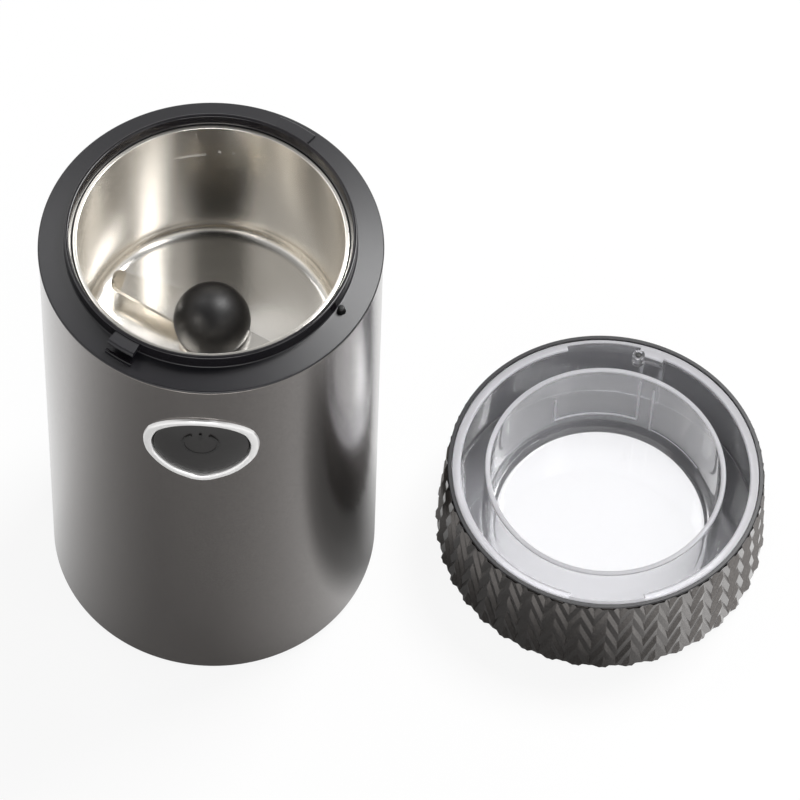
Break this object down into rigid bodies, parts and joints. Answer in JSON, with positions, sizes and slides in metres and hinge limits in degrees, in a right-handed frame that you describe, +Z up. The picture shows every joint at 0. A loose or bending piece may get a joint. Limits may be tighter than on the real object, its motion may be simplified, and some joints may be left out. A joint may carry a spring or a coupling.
{
  "type": "electric coffee grinder",
  "caption": "Electric blade coffee grinder: tapered body with a steel bowl, blade and front push button, and its clear twist-on lid lying upside down beside it.",
  "frame": {"origin": "on the table, under the middle of the rubber pad, on the axis of the body and the blade", "axes": "+Z up along the body's axis, -Y towards the front with the button, +X towards the lid that lies beside the body"},
  "size_m": [0.2017, 0.1002, 0.152],
  "materials": {
    "coated_plastic": "warm dark grey metallic coat, satin",
    "black_plastic": "fine matt black",
    "switch_plastic": "black, moulded",
    "button_plastic": "dark, soft touch",
    "pin_plastic": "black",
    "bowl_steel": "brushed round the bowl",
    "blade_steel": "bright",
    "plain_steel": "zinc plated",
    "spring_steel": "plain",
    "core_iron": "laminated steel",
    "copper": "copper, varnished",
    "brass": "turned",
    "carbon": "carbon",
    "rubber": "satin black",
    "chrome_ring": "polished",
    "board_plastic": "green board",
    "capacitor_plastic": "yellow box",
    "clear_plastic": "clear, polished",
    "grip_plastic": "dark grey metallic coat, textured"
  },
  "bodies": {
    "body": {"housing": "coated_plastic", "base_cover": "black_plastic", "base_screws": "plain_steel", "foot_pad": "rubber", "cord_grommet": "rubber", "collar": "black_plastic", "bowl": "bowl_steel", "bowl_gasket": "rubber", "bush": "brass", "bush_nut": "plain_steel", "carrier": "black_plastic", "chassis_screws": "plain_steel", "motor_frame_upper": "plain_steel", "motor_frame_lower": "plain_steel", "stator_core": "core_iron", "field_coil_right": "copper", "field_coil_left": "copper", "bearing_upper": "plain_steel", "bearing_lower": "plain_steel", "brush_holder_back": "black_plastic", "brush_holder_front": "black_plastic", "brush_back": "carbon", "brush_front": "carbon", "brush_spring_back": "spring_steel", "brush_spring_front": "spring_steel", "motor_screws": "plain_steel", "damper_left": "rubber", "damper_right": "rubber", "circuit_board": "board_plastic", "capacitor": "capacitor_plastic", "terminal_block": "switch_plastic", "bezel": "chrome_ring", "button_guide": "black_plastic", "button_switch": "switch_plastic", "button_spring": "spring_steel", "interlock_switch": "switch_plastic", "interlock_spring": "spring_steel"},
    "rotor": {"shaft": "plain_steel", "armature_core": "core_iron", "armature_winding_lower": "copper", "armature_winding_upper": "copper", "commutator": "copper", "fan": "black_plastic", "blade_hub": "blade_steel", "blade": "blade_steel", "knob": "rubber", "knob_insert": "brass"},
    "push_button": {"button": "button_plastic"},
    "lock_pin": {"interlock_pin": "pin_plastic"},
    "lid": {"lid_grip": "grip_plastic", "lid_cover": "clear_plastic", "lid_peg": "pin_plastic"}
  },
  "joints": [
    {"name": "blade_spin", "type": "hinge", "parent": "body", "child": "rotor", "pos_m": [0, 0, 0.1045], "axis": [0, 0, 1], "continuous": true},
    {"name": "button_press", "type": "slide", "parent": "body", "child": "push_button", "axis": [0, 1, 0], "range_m": [0, 0.002], "stiffness_N_per_m": 1200, "springref_m": -0.0008, "deforming": ["button_spring"]},
    {"name": "lock_pin_press", "type": "slide", "parent": "body", "child": "lock_pin", "axis": [0, 0, -1], "range_m": [0, 0.0012], "stiffness_N_per_m": 500, "springref_m": -0.002, "deforming": ["interlock_spring"]},
    {"name": "lid_lift", "type": "slide", "parent": "body", "child": "lid", "axis": [0, 0, 1], "range_m": [0, 0.16]}
  ]
}
